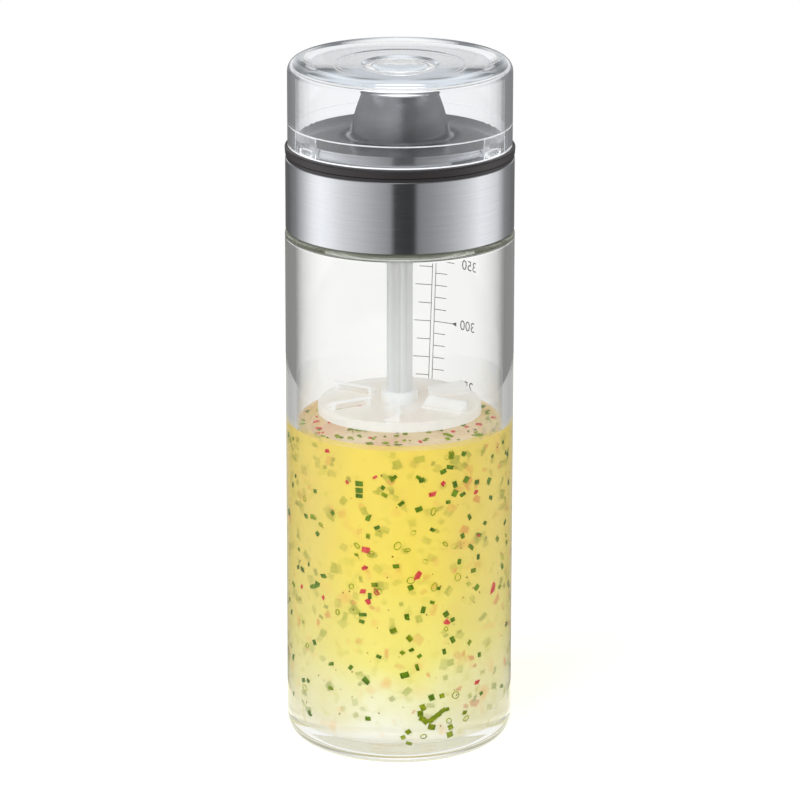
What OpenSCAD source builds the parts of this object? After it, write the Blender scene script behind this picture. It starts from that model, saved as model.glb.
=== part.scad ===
// Salad dressing shaker bottle: a glass bottle with a lugged neck, a steel-sleeved pouring head,
// a clear bayonet cap and a louvred mixing disc that hangs from the head on a rod.
// Millimetres, +Z up, origin at the middle of the foot.

/* [Bottle] */
// Outside diameter of the glass body
bottle_d = 65; // [60:0.5:75]
// Height of the glass body, from the foot to the shoulder
bottle_h = 151.6; // [130:0.2:180]
// Thickness of the glass body's wall
glass_wall = 3; // [2.4:0.1:3.6]
// Thickness of the glass floor
floor_t = 5.5; // [4:0.1:9]
// Thickness of the glass across the shoulder
shoulder_t = 2.8; // [2.4:0.1:4]
// Radius of the body's lower outside edge
foot_round = 6; // [3:0.1:8]
// Radius of the shoulder's outside edge
shoulder_round = 1.8; // [1:0.1:2.4]
// Rise of the domed underside above the foot
push_up = 1.2; // [0.6:0.1:2]

/* [Neck] */
// Height of the neck above the shoulder
neck_h = 15.7; // [14:0.1:20]
// Thickness of the neck's wall
neck_wall = 3.5; // [2.8:0.1:4]
// Number of lugs round the neck
lug_count = 4; // [3:1:4]
// Arc that each neck lug covers, in degrees
lug_arc = 36; // [28:1:38]
// Reach of the lugs out of the neck
lug_out = 1.3; // [1:0.05:1.6]
// Height of the neck lugs
lug_h = 3; // [2.4:0.1:3.6]
// Depth from the rim to the top of the lugs
lug_drop = 3.5; // [2.5:0.1:4.5]

/* [Pouring head] */
// Thickness of the steel sleeve
sleeve_t = 0.6; // [0.4:0.05:0.8]
// Set-back of the sleeve from the glass body's outside
sleeve_inset = 0.15; // [0.05:0.05:0.4]
// Wall of the lock ring inside the sleeve
lock_wall = 1.1; // [0.9:0.05:1.5]
// Thickness of the web that closes on the neck
web_t = 2.5; // [2:0.1:3.5]
// Width of the web's flat, from the lock ring's bore inward
web_w = 8.6; // [8:0.1:9.5]
// Height of the ledges that catch under the neck lugs
ledge_h = 3.6; // [2.6:0.1:4.2]
// Turn that locks the head, in degrees
head_turn = 40; // [34:1:42]
// Thickness of the neck gasket
neck_gasket_t = 1.5; // [1:0.1:2]

/* [Cap seat] */
// Height of the ring that the cap locks on
seat_h = 6.5; // [6:0.1:8]
// Width of the seat ring's flange
seat_w = 4.65; // [4.2:0.05:5.2]
// Thickness of the flange's part above the rod holder
seat_flange_t = 3.9; // [3.6:0.05:4]
// Wall of the seat ring's skirt round the rod holder
seat_skirt_w = 2.7; // [2.2:0.1:3.2]
// Depth of the bayonet slots
slot_deep = 1.4; // [1.2:0.05:1.8]
// Thickness left above the bayonet slots
slot_roof = 0.45; // [0.4:0.05:0.8]
// Turn that locks the cap, in degrees
cap_turn = 25; // [18:1:30]
// Height of the dark gasket under the cap
cap_gasket_h = 3.2; // [2.6:0.1:4]
// Reach of the dark gasket beyond the sleeve
cap_gasket_out = 0.15; // [0.05:0.05:0.5]

/* [Spout] */
// Thickness of the steel spout plate
plate_t = 0.6; // [0.4:0.05:0.8]
// Height of the cone above the plate
cone_h = 12.6; // [10:0.1:14]
// Outside diameter of the cone's mouth
cone_top_d = 20.8; // [19:0.1:23]
// Outside diameter of the cone at the plate
cone_base_d = 28.6; // [26:0.1:30]
// Swell of the cone's side, 1 for a straight one
cone_swell = 1.38; // [1:0.01:1.5]
// Radius of the fillet between plate and cone
cone_fillet = 1.6; // [1:0.1:2.4]
// Diameter of the pouring hole
pour_d = 11.6; // [9:0.1:13]
// Wall of the pouring insert inside the cone
insert_wall = 1.4; // [1:0.1:1.8]
// Thickness of the pouring insert's flange
insert_flange_t = 1.6; // [1.2:0.1:2.2]
// Depth of the pouring hole's straight part
pour_deep = 2.8; // [2.2:0.1:4]

/* [Cap] */
// Height of the clear cap
cap_h = 24.5; // [22.5:0.1:28]
// Set-back of the cap from the sleeve's outside
cap_inset = 0.65; // [0.4:0.05:1.2]
// Thickness of the cap's wall above the seat
cap_wall = 2.2; // [1.8:0.1:2.6]
// Wall taken away where the cap goes over its seat
cap_relief = 0.4; // [0.2:0.05:0.6]
// Height of the relieved band at the cap's mouth
cap_band_h = 6.05; // [5:0.05:7]
// Depth from the cap's rim to its ceiling
cap_top_t = 2.4; // [2:0.1:3]
// Radius of the cap's upper outside edge
cap_round = 3.5; // [2.5:0.1:4.5]
// Depth of the dish in the cap's top
dish_deep = 1.2; // [0.8:0.1:1.6]
// Number of bayonet lugs inside the cap
cap_lug_count = 3; // [2:1:4]
// Arc that each cap lug covers, in degrees
cap_lug_arc = 10.5; // [8:0.5:13]
// Arc of the pad that carries each cap lug, in degrees
cap_pad_arc = 20; // [16:0.5:24]
// Thickness of those pads
cap_pad_t = 0.45; // [0.3:0.05:0.6]
// Height of the cap lugs
cap_lug_h = 1.8; // [1.4:0.1:1.9]

/* [Cap seal] */
// Thickness of the white seal's disc
seal_t = 2.5; // [2:0.1:3]
// Reach of the seal beyond the cone's mouth
seal_out = 0.1; // [0:0.05:0.4]
// Depth of the seal's nub in the pouring hole
nub_deep = 1.5; // [1:0.1:2]
// Wall of the boss that holds the seal
boss_wall = 3; // [2:0.1:3.5]
// Height of the seal's stem in the boss
stem_h = 2; // [1.4:0.1:2.4]

/* [Mixer] */
// Length of the mixing rod
rod_l = 72; // [60:0.5:84]
// Width across the rod's cross-shaped section
rod_d = 7.4; // [6:0.1:9]
// Thickness of the rod's fins
fin_t = 2; // [1.4:0.1:2.6]
// Clearance of the disc in the neck's bore
disc_clear = 2.1; // [1.5:0.1:4]
// Thickness of the mixing disc
disc_t = 1.1; // [0.9:0.1:1.6]
// Depth of the skirt round the disc
skirt_h = 2.8; // [2.2:0.1:4.5]
// Thickness of that skirt
skirt_t = 1; // [0.8:0.1:1.4]
// Radius of the disc's hub round the rod
hub_wall = 1.5; // [1.2:0.1:2]
// Height of the hub above the disc
hub_h = 3; // [2:0.1:6]
// Number of louvres in the disc
louvre_count = 6; // [4:1:7]
// Width of the slot under each louvre
louvre_w = 3.6; // [2.6:0.1:4]
// Rise of the louvres above the disc
louvre_h = 2; // [1.4:0.1:2.6]
// Thickness of the louvres
louvre_t = 0.8; // [0.7:0.05:1]

/* [Rod holder] */
// Width of the holder's outer ring
holder_ring_w = 4.6; // [3.6:0.1:5]
// Thickness of the holder's outer ring
holder_ring_t = 2.4; // [2:0.1:2.5]
// Wall of the socket that grips the rod
socket_wall = 2.3; // [1.6:0.1:2.8]
// Depth of that socket
socket_deep = 13; // [9:0.5:14]
// Number of spokes
spoke_count = 3; // [3:1:4]
// Thickness of the spokes
spoke_t = 2.2; // [1.6:0.1:3]
// Drop of the spokes below the holder's ring
spoke_drop = 2; // [1:0.1:2.4]

/* [Fits] */
// Gap between parts that move past each other
move_gap = 0.3; // [0.25:0.05:0.4]
// Gap between flat seats that only rest on each other
seat_gap = 0.1; // [0.05:0.05:0.2]
// Radial clearance of a sliding or turning fit
slide_gap = 0.08; // [0.05:0.01:0.1]
// Clearance between parts that are assembled for good
slip = 0.05; // [0.03:0.01:0.1]

/* [Hidden] */
$fn = 96;
arc_steps = 8;
bite = 0.5;

// Glass
bottle_r = bottle_d / 2;
body_in_r = bottle_r - glass_wall;
foot_w = 4;
foot_in_r = bottle_r - foot_round - foot_w;
floor_round = 4.5;
collar_r = bottle_r - sleeve_inset;
lock_out_r = collar_r - sleeve_t - slip;
lock_in_r = lock_out_r - lock_wall;
lug_r = lock_in_r - move_gap;
neck_r = lug_r - lug_out;
neck_in_r = neck_r - neck_wall;
neck_root = 0.8;
rim_round = 1;
throat_round = 1;
ceiling_round = 2.4;
ceiling_z = bottle_h - shoulder_t;
rim_z = bottle_h + neck_h;
lug_top_z = rim_z - lug_drop;
lug_z = lug_top_z - lug_h;
lug_chamfer = 0.6;
lug_pitch = 360 / lug_count;
stop_arc = 3;
stop_gap_arc = 1.5;

// Lock ring and sleeve
lock_z = bottle_h + move_gap;
web_z = rim_z + seat_gap + neck_gasket_t + seat_gap;
head_z = web_z + web_t;
web_in_r = lock_in_r - web_w;
ledge_gap = 0.4;
ledge_top_z = lug_z - ledge_gap;
ledge_z = ledge_top_z - ledge_h;
ledge_in_r = neck_r + move_gap;
ledge_arc = 2 * (head_turn - stop_gap_arc - stop_arc) - lug_pitch + lug_arc;
sleeve_z = bottle_h + seat_gap;
sleeve_top_z = head_z + sleeve_t;
sleeve_round = 0.45;
gasket_in_r = neck_in_r + rim_round;
gasket_out_r = neck_r - slip;

// Cap and its seat
cap_r = collar_r - cap_inset;
cap_in_r = cap_r - cap_wall;
cap_band_r = cap_in_r + cap_relief;
cap_pad_r = cap_band_r - cap_pad_t;
seat_r = cap_pad_r - move_gap;
seat_in_r = seat_r - seat_w;
seat_top_z = head_z + seat_h;
seat_flange_z = seat_top_z - seat_flange_t;
slot_r = seat_r - slot_deep;
cap_lug_r = slot_r + move_gap;
cap_gasket_z = sleeve_top_z;
cap_gasket_top_z = cap_gasket_z + cap_gasket_h;
cap_lift_gap = 0.2;
cap_z = cap_gasket_top_z + cap_lift_gap;
cap_lug_z = cap_z + seat_gap;
slot_z = cap_gasket_top_z;
slot_top_z = seat_top_z - slot_roof;
slot_play_arc = 1.2;
slot_arc = cap_lug_arc + 2 * slot_play_arc;
cap_lug_first = 90;
cap_top_z = cap_z + cap_h;
cap_ceiling_z = cap_top_z - cap_top_t;
ceiling_step = 1;
cap_ceiling_mid_z = cap_ceiling_z - ceiling_step;

// Spout
plate_z = seat_top_z;
plate_top_z = plate_z + plate_t;
plate_inset = 0.15;
plate_r = seat_r - plate_inset;
cone_top_r = cone_top_d / 2;
cone_base_r = cone_base_d / 2;
cone_top_z = plate_top_z + cone_h;
cone_steps = 10;
pour_r = pour_d / 2;
insert_z = plate_z - slip - insert_flange_t;
insert_r = seat_in_r - slip;
insert_round = 0.5;

// Cap seal
seal_z = cone_top_z + cap_lift_gap;
seal_top_z = seal_z + seal_t;
seal_r = cone_top_r + seal_out;
seal_round = 0.4;
boss_inset = 0.2;
boss_r = cone_top_r - boss_inset;
boss_in_r = boss_r - boss_wall;
boss_z = seal_top_z + seat_gap;
stem_r = boss_in_r - slide_gap;
nub_r = pour_r - move_gap;

// Rod holder and mixer
holder_ring_r = seat_r - seat_skirt_w - slip;
holder_ring_in_r = holder_ring_r - holder_ring_w;
holder_top_z = head_z + slip + holder_ring_t;
spoke_z = head_z + slip - spoke_drop;
rod_r = rod_d / 2;
rod_turn = 20;
socket_r = rod_r + slide_gap;
socket_out_r = socket_r + socket_wall;
socket_low = 0.5;
socket_top_z = head_z - socket_low;
socket_z = socket_top_z - socket_deep;
socket_roof = 3;
spoke_first = 30;
rod_top_z = socket_top_z - seat_gap;
rod_z = rod_top_z - rod_l;
disc_r = neck_in_r - disc_clear;
hub_r = rod_r + slip + hub_wall;
hub_floor = 1;
disc_z = rod_z - slip - hub_floor + skirt_h;
skirt_z = disc_z - skirt_h;
skirt_round = 0.5;
louvre_from_hub = 5;
louvre_in_r = hub_r + louvre_from_hub;
louvre_from_skirt = 1.6;
louvre_out_r = disc_r - skirt_t - louvre_from_skirt;
louvre_over = 0.4;
louvre_first = 30;
louvre_steps = 8;
cheek_t = 0.8;
cheek_in = 0.2;

function arc(x, y, r, from, to) =
    [for (i = [0:arc_steps]) let (a = from + (to - from) * i / arc_steps)
        [x + r * cos(a), y + r * sin(a)]];

// Radius of the cone's outside, from its mouth (0) to its base (1)
function cone_r(t) =
    cone_top_r + (cone_base_r - cone_top_r) * (cone_swell * t + (1 - cone_swell) * t * t);

// Side of the cone moved inward, from the height low to the height high
function cone_side(inward, low, high) =
    [for (i = [0:cone_steps]) let (z = low + (high - low) * i / cone_steps)
        [cone_r((cone_top_z - z) / cone_h) - inward, z]];

function reversed(list) = [for (i = [len(list) - 1:-1:0]) list[i]];

// A ring between two radii and two heights
module ring(r_in, r_out, low, high) {
    rotate_extrude()
        translate([r_in, low])
            square([r_out - r_in, high - low]);
}

// A piece of such a ring, centred on the angle middle
module ring_piece(r_in, r_out, low, high, middle, span) {
    rotate([0, 0, middle - span / 2])
        rotate_extrude(angle = span)
            translate([r_in, low])
                square([r_out - r_in, high - low]);
}

module bottle_profile() {
    underside = [for (i = [0:arc_steps]) let (t = i / arc_steps)
        [foot_in_r * t, push_up * (1 - t * t)]];
    polygon(concat(
        underside,
        arc(bottle_r - foot_round, foot_round, foot_round, -90, 0),
        arc(bottle_r - shoulder_round, bottle_h - shoulder_round, shoulder_round, 0, 90),
        arc(neck_r + neck_root, bottle_h + neck_root, neck_root, 270, 180),
        arc(neck_r - rim_round, rim_z - rim_round, rim_round, 0, 90),
        arc(neck_in_r + rim_round, rim_z - rim_round, rim_round, 90, 180),
        arc(neck_in_r + throat_round, ceiling_z + throat_round, throat_round, 180, 270),
        arc(body_in_r - ceiling_round, ceiling_z - ceiling_round, ceiling_round, 90, 0),
        arc(body_in_r - floor_round, floor_t + floor_round, floor_round, 0, -90),
        [[0, floor_t]]));
}

module neck_lug_profile() {
    polygon([
        [neck_r - bite, lug_z],
        [lug_r - lug_chamfer, lug_z],
        [lug_r, lug_z + lug_chamfer],
        [lug_r, lug_top_z - lug_chamfer],
        [lug_r - lug_chamfer, lug_top_z],
        [neck_r - bite, lug_top_z]]);
}

module glass_bottle() {
    color([0.82, 0.9, 0.87, 0.4])
    union() {
        rotate_extrude() bottle_profile();
        for (i = [0:lug_count - 1]) {
            rotate([0, 0, i * lug_pitch - lug_arc / 2])
                rotate_extrude(angle = lug_arc) neck_lug_profile();
            ring_piece(neck_r - bite, lug_r, ledge_z, lug_z + bite,
                       i * lug_pitch - lug_arc / 2 + stop_arc / 2, stop_arc);
        }
    }
}

module neck_gasket() {
    color([0.9, 0.9, 0.88])
    ring(gasket_in_r, gasket_out_r, rim_z + seat_gap, rim_z + seat_gap + neck_gasket_t);
}

module steel_collar() {
    flange_r = seat_r + move_gap;
    color([0.72, 0.73, 0.74])
    rotate_extrude()
        polygon(concat(
            [[collar_r - sleeve_t, sleeve_z], [collar_r, sleeve_z]],
            arc(collar_r - sleeve_round, sleeve_top_z - sleeve_round, sleeve_round, 0, 90),
            [[flange_r, sleeve_top_z], [flange_r, head_z + slip / 2],
             [collar_r - sleeve_t, head_z + slip / 2]]));
}

module lock_ring() {
    color([0.86, 0.87, 0.88])
    union() {
        ring(lock_in_r, lock_out_r, lock_z, head_z);
        ring(web_in_r, lock_in_r + bite, web_z, head_z);
        for (i = [0:lug_count - 1])
            ring_piece(ledge_in_r, lock_in_r + bite, ledge_z, ledge_top_z,
                       (i + 0.5) * lug_pitch, ledge_arc);
    }
}

module cap_gasket() {
    in_r = seat_r + slip;
    out_r = collar_r + cap_gasket_out;
    bead_h = 0.75;
    groove_h = 0.25;
    groove_deep = 0.5;
    bead_in = 0.3;
    lip_round = 0.45;
    color([0.16, 0.14, 0.15])
    rotate_extrude()
        polygon(concat(
            [[in_r, cap_gasket_z],
             [out_r - bead_in, cap_gasket_z],
             [out_r - bead_in, cap_gasket_z + bead_h],
             [out_r - groove_deep - bead_in, cap_gasket_z + bead_h],
             [out_r - groove_deep - bead_in, cap_gasket_z + bead_h + groove_h],
             [out_r - bead_in / 2, cap_gasket_z + bead_h + groove_h]],
            arc(out_r - lip_round, cap_gasket_top_z - lip_round, lip_round, 0, 90),
            [[in_r, cap_gasket_top_z]]));
}

module cap_seat() {
    skirt_in_r = seat_r - seat_skirt_w;
    color([0.55, 0.56, 0.58])
    difference() {
        rotate_extrude()
            polygon([
                [skirt_in_r, head_z + slip], [seat_r, head_z + slip],
                [seat_r, seat_top_z], [seat_in_r, seat_top_z],
                [seat_in_r, seat_flange_z], [skirt_in_r, seat_flange_z]]);
        for (i = [0:cap_lug_count - 1]) {
            middle = cap_lug_first + i * 360 / cap_lug_count;
            ring_piece(slot_r, seat_r + bite, slot_z, slot_top_z,
                       middle - cap_turn / 2, slot_arc + cap_turn);
            ring_piece(slot_r - slip, seat_r + bite, slot_top_z - bite, seat_top_z + bite,
                       middle, slot_arc - slip);
        }
    }
}

module spout_plate() {
    cone_low_z = plate_top_z + cone_fillet;
    fillet_x = cone_r((cone_top_z - cone_low_z) / cone_h) + cone_fillet;
    color([0.66, 0.67, 0.7])
    difference() {
        rotate_extrude()
            polygon(concat(
                [[plate_r, plate_z], [plate_r, plate_top_z]],
                arc(fillet_x, plate_top_z + cone_fillet, cone_fillet, 270, 180),
                cone_side(0, cone_low_z, cone_top_z),
                reversed(cone_side(plate_t, cone_low_z, cone_top_z)),
                arc(fillet_x, plate_top_z + cone_fillet, cone_fillet + plate_t, 180, 270)));
        for (i = [0:cap_lug_count - 1])
            ring_piece(slot_r, plate_r + bite, plate_z - bite, plate_top_z + bite,
                       cap_lug_first + i * 360 / cap_lug_count, slot_arc);
    }
}

module pouring_insert() {
    skin = plate_t + slip;
    low_z = plate_top_z + cone_fillet;
    shoulder_z = cone_top_z - pour_deep;
    inner_top_z = shoulder_z - insert_wall;
    fillet_x = cone_r((cone_top_z - low_z) / cone_h) + cone_fillet;
    mouth_r = cone_r(0) - skin;
    color([0.8, 0.81, 0.83])
    rotate_extrude()
        polygon(concat(
            [[insert_r, insert_z], [insert_r, plate_z - slip]],
            arc(fillet_x, low_z, cone_fillet + skin, 270, 180),
            cone_side(skin, low_z, cone_top_z - insert_round),
            [[mouth_r - insert_round, cone_top_z]],
            arc(pour_r + insert_round, cone_top_z - insert_round, insert_round, 90, 180),
            [[pour_r, shoulder_z]],
            reversed(cone_side(skin + insert_wall, low_z, inner_top_z)),
            arc(fillet_x, low_z, cone_fillet + skin + insert_flange_t, 180, 270)));
}

// A spoke from the socket out to the given radius, between two heights
module spoke(reach, low, high) {
    translate([socket_out_r - bite, -spoke_t / 2, low])
        cube([reach - socket_out_r + bite, spoke_t, high - low]);
}

module rod_holder() {
    color([0.93, 0.94, 0.95])
    difference() {
        union() {
            ring(holder_ring_in_r, holder_ring_r, head_z + slip, holder_top_z);
            translate([0, 0, socket_z])
                cylinder(r = socket_out_r, h = socket_top_z + socket_roof - socket_z);
            for (i = [0:spoke_count - 1])
                rotate([0, 0, spoke_first + i * 360 / spoke_count]) {
                    spoke(web_in_r - move_gap, spoke_z, head_z + move_gap);
                    spoke(holder_ring_in_r + bite, head_z + slip, holder_top_z);
                }
        }
        translate([0, 0, socket_z - bite])
            cylinder(r = socket_r, h = socket_deep + bite);
    }
}

module mixing_rod() {
    color([0.93, 0.94, 0.95])
    translate([0, 0, rod_z])
        intersection() {
            cylinder(r = rod_r, h = rod_l);
            union() {
                for (a = [rod_turn, rod_turn + 90])
                    rotate([0, 0, a])
                        translate([-rod_d, -fin_t / 2, -bite])
                            cube([2 * rod_d, fin_t, rod_l + 2 * bite]);
            }
        }
}

// Curve of a louvre across its width, from the disc (0) to the raised lip (1)
function louvre_point(t, up) =
    [-louvre_w - bite + t * (louvre_w + louvre_over + bite),
     up + louvre_h * (1 - cos(180 * t)) / 2 - bite / 2];

module louvre_section() {
    polygon(concat(
        [for (i = [0:louvre_steps]) louvre_point(i / louvre_steps, 0)],
        [for (i = [louvre_steps:-1:0]) louvre_point(i / louvre_steps, louvre_t)]));
}

module cheek_section() {
    polygon(concat(
        [[-louvre_w - bite, -disc_t / 2], [cheek_in, -disc_t / 2]],
        [for (i = [louvre_steps - 1:-1:0]) louvre_point(i / louvre_steps, louvre_t / 2)]));
}

// A section drawn across the slot, run along the radius from one end to the other
module along_radius(from, to) {
    translate([from, 0, disc_z])
        rotate([90, 0, 90])
            linear_extrude(to - from) children();
}

module mixing_disc() {
    color([0.93, 0.94, 0.95])
    difference() {
        union() {
            difference() {
                rotate_extrude()
                    polygon(concat(
                        [[hub_r - bite, disc_z - disc_t], [disc_r - skirt_t, disc_z - disc_t],
                         [disc_r - skirt_t, skirt_z], [disc_r, skirt_z]],
                        arc(disc_r - skirt_round, disc_z - skirt_round, skirt_round, 0, 90),
                        [[hub_r - bite, disc_z]]));
                for (i = [0:louvre_count - 1])
                    rotate([0, 0, louvre_first + i * 360 / louvre_count])
                        translate([louvre_in_r, -louvre_w, disc_z - 2 * disc_t])
                            cube([louvre_out_r - louvre_in_r, louvre_w, 3 * disc_t]);
            }
            for (i = [0:louvre_count - 1])
                rotate([0, 0, louvre_first + i * 360 / louvre_count]) {
                    along_radius(louvre_in_r - cheek_t, louvre_out_r + cheek_t) louvre_section();
                    along_radius(louvre_in_r - cheek_t + slip, louvre_in_r + cheek_in)
                        cheek_section();
                    along_radius(louvre_out_r - cheek_in, louvre_out_r + cheek_t - slip)
                        cheek_section();
                }
            translate([0, 0, skirt_z])
                cylinder(r = hub_r, h = skirt_h + hub_h);
        }
        translate([0, 0, skirt_z + hub_floor])
            cylinder(r = rod_r + slip, h = skirt_h + hub_h);
    }
}

module cap_seal() {
    color([0.95, 0.95, 0.95])
    rotate_extrude()
        polygon(concat(
            [[0, seal_z - nub_deep], [nub_r - seal_round, seal_z - nub_deep],
             [nub_r, seal_z - nub_deep + seal_round], [nub_r, seal_z]],
            arc(seal_r - seal_round, seal_z + seal_round, seal_round, -90, 0),
            arc(seal_r - seal_round, seal_top_z - seal_round, seal_round, 0, 90),
            [[stem_r, seal_top_z], [stem_r, seal_top_z + stem_h], [0, seal_top_z + stem_h]]));
}

module cap_profile() {
    rim_w = 1;
    rim_slope = 2.2;
    dish_r = cap_r - cap_round - rim_w - rim_slope;
    step_r = 18.5;
    step_h = 0.3;
    dish_z = cap_top_z - dish_deep;
    ring_deep = 0.7;
    ring_slope = 0.7;
    lens_h = 0.6;
    band_z = cap_z + cap_band_h;
    corner = 0.8;
    polygon(concat(
        [[cap_band_r, cap_z], [cap_r, cap_z]],
        arc(cap_r - cap_round, cap_top_z - cap_round, cap_round, 0, 90),
        [[dish_r + rim_slope, cap_top_z], [dish_r, dish_z],
         [step_r, dish_z - step_h / 2], [step_r - step_h, dish_z - step_h],
         [boss_r + ring_slope, dish_z - step_h],
         [boss_r, dish_z - step_h - ring_deep],
         [boss_in_r + ring_slope, dish_z - step_h - ring_deep]],
        [for (i = [arc_steps:-1:0]) let (t = i / arc_steps)
            [boss_in_r * t, dish_z - step_h + lens_h * (1 - t * t)]],
        [[0, cap_ceiling_mid_z], [boss_in_r, cap_ceiling_mid_z],
         [boss_in_r, boss_z], [boss_r, boss_z], [boss_r, cap_ceiling_mid_z]],
        [[dish_r, cap_ceiling_mid_z]],
        arc(cap_in_r - corner, cap_ceiling_z - corner, corner, 90, 0),
        [[cap_in_r, band_z], [cap_band_r, band_z]]));
}

module clear_cap() {
    pad_below_band = 0.25;
    pad_top_z = cap_z + cap_band_h - pad_below_band;
    color([0.9, 0.93, 0.96, 0.4])
    union() {
        rotate_extrude() cap_profile();
        for (i = [0:cap_lug_count - 1]) {
            middle = cap_lug_first + i * 360 / cap_lug_count;
            ring_piece(cap_pad_r, cap_band_r + bite, cap_z + seat_gap, pad_top_z,
                       middle, cap_pad_arc);
            ring_piece(cap_lug_r, cap_pad_r + bite, cap_lug_z, cap_lug_z + cap_lug_h,
                       middle, cap_lug_arc);
        }
    }
}

glass_bottle();
neck_gasket();
steel_collar();
lock_ring();
cap_gasket();
cap_seat();
spout_plate();
pouring_insert();
rod_holder();
mixing_rod();
mixing_disc();
cap_seal();
clear_cap();
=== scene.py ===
"""Looks of a salad dressing shaker bottle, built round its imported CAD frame. Metres, +Z up."""
import math
import random

import bpy
from mathutils import Matrix, Vector

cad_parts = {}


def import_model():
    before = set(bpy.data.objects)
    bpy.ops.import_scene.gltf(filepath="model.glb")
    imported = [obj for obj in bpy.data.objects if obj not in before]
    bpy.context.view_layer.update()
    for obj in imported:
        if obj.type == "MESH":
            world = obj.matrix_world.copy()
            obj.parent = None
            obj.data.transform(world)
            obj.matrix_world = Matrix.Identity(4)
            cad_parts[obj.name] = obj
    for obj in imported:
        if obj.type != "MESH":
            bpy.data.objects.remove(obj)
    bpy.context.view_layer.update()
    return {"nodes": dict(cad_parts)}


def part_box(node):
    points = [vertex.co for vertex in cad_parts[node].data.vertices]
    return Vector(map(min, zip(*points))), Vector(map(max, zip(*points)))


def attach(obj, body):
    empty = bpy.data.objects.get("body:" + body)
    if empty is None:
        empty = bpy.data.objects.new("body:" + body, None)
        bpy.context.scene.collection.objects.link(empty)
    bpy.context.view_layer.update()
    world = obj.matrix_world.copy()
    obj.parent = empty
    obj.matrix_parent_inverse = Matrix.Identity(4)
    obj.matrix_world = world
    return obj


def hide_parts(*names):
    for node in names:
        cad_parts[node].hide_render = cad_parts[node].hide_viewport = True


MM = 0.001
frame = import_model()
nodes = frame["nodes"]

# Measures that the frame gives
glass_low, glass_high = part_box("glass_bottle")
cap_low, cap_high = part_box("clear_cap")
collar_low, collar_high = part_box("steel_collar")
disc_low, disc_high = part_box("mixing_disc")
seal_low, seal_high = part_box("cap_seal")
spout_low, spout_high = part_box("spout_plate")
GLASS_R = glass_high.x
CAP_R = cap_high.x
COLLAR_R = collar_high.x

# Camera of the photograph
CAMERA_DISTANCE = 1.24797
CAMERA_HEIGHT = 0.47209
CAMERA_SIDE = 0.00012
CAMERA_PITCH = 16.5947
CAMERA_ROLL = 0.095
LENS_PIXELS = 4551.5
FRAME_PIXELS = 800
SENSOR = 36.0


def camera():
    data = bpy.data.cameras.new("camera")
    data.sensor_width = SENSOR
    data.lens = LENS_PIXELS / FRAME_PIXELS * SENSOR
    data.clip_end = 20
    cam = bpy.data.objects.new("camera", data)
    bpy.context.scene.collection.objects.link(cam)
    turn = Matrix.Rotation(math.radians(90 - CAMERA_PITCH), 4, "X")
    roll = Matrix.Rotation(math.radians(CAMERA_ROLL), 4, "Z")
    place = Matrix.Translation((CAMERA_SIDE, -CAMERA_DISTANCE, CAMERA_HEIGHT))
    cam.matrix_world = place @ turn @ roll
    bpy.context.scene.camera = cam


class Nodes:
    """A short way to add shader nodes to a material or the world."""

    def __init__(self, tree):
        self.tree = tree
        tree.nodes.clear()

    def add(self, kind, inputs=None, **settings):
        node = self.tree.nodes.new(kind)
        for key, value in settings.items():
            setattr(node, key, value)
        for key, value in (inputs or {}).items():
            self.put(node, key, value)
        return node

    def put(self, node, key, value):
        socket = node.inputs[key]
        if isinstance(value, bpy.types.NodeSocket):
            self.tree.links.new(value, socket)
        else:
            socket.default_value = value

    def math(self, operation, a, b=0.0, c=0.0, clamp=False):
        node = self.add("ShaderNodeMath", {0: a, 1: b, 2: c}, operation=operation)
        node.use_clamp = clamp
        return node.outputs[0]

    def ramp(self, fac, stops, smooth=False):
        node = self.add("ShaderNodeValToRGB", {"Fac": fac})
        node.color_ramp.interpolation = "EASE" if smooth else "LINEAR"
        elements = node.color_ramp.elements
        while len(elements) < len(stops):
            elements.new(0.5)
        for element, (place, value) in zip(elements, stops):
            element.position = place
            element.color = (*value, 1) if isinstance(value, tuple) else (value, value, value, 1)
        return node.outputs["Color"]

    def blend(self, fac, a, b):
        node = self.add("ShaderNodeMix", {0: fac, 2: a, 3: b}, data_type="FLOAT")
        return node.outputs[0]

    def tone(self, fac, a, b):
        """Blend of two colours."""
        node = self.add("ShaderNodeMix", data_type="RGBA")
        for index, value in ((0, fac), (6, a), (7, b)):
            self.put(node, index, (*value, 1) if isinstance(value, tuple) else value)
        return node.outputs[2]

    def mix(self, fac, a, b):
        node = self.add("ShaderNodeMixShader", {0: fac})
        self.tree.links.new(a, node.inputs[1])
        self.tree.links.new(b, node.inputs[2])
        return node.outputs[0]

    def plus(self, a, b):
        node = self.add("ShaderNodeAddShader")
        self.tree.links.new(a, node.inputs[0])
        self.tree.links.new(b, node.inputs[1])
        return node.outputs[0]


def material(name):
    mat = bpy.data.materials.new(name)
    mat.use_nodes = True
    return mat, Nodes(mat.node_tree)


def output(n, surface):
    n.tree.links.new(surface, n.add("ShaderNodeOutputMaterial").inputs["Surface"])


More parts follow.
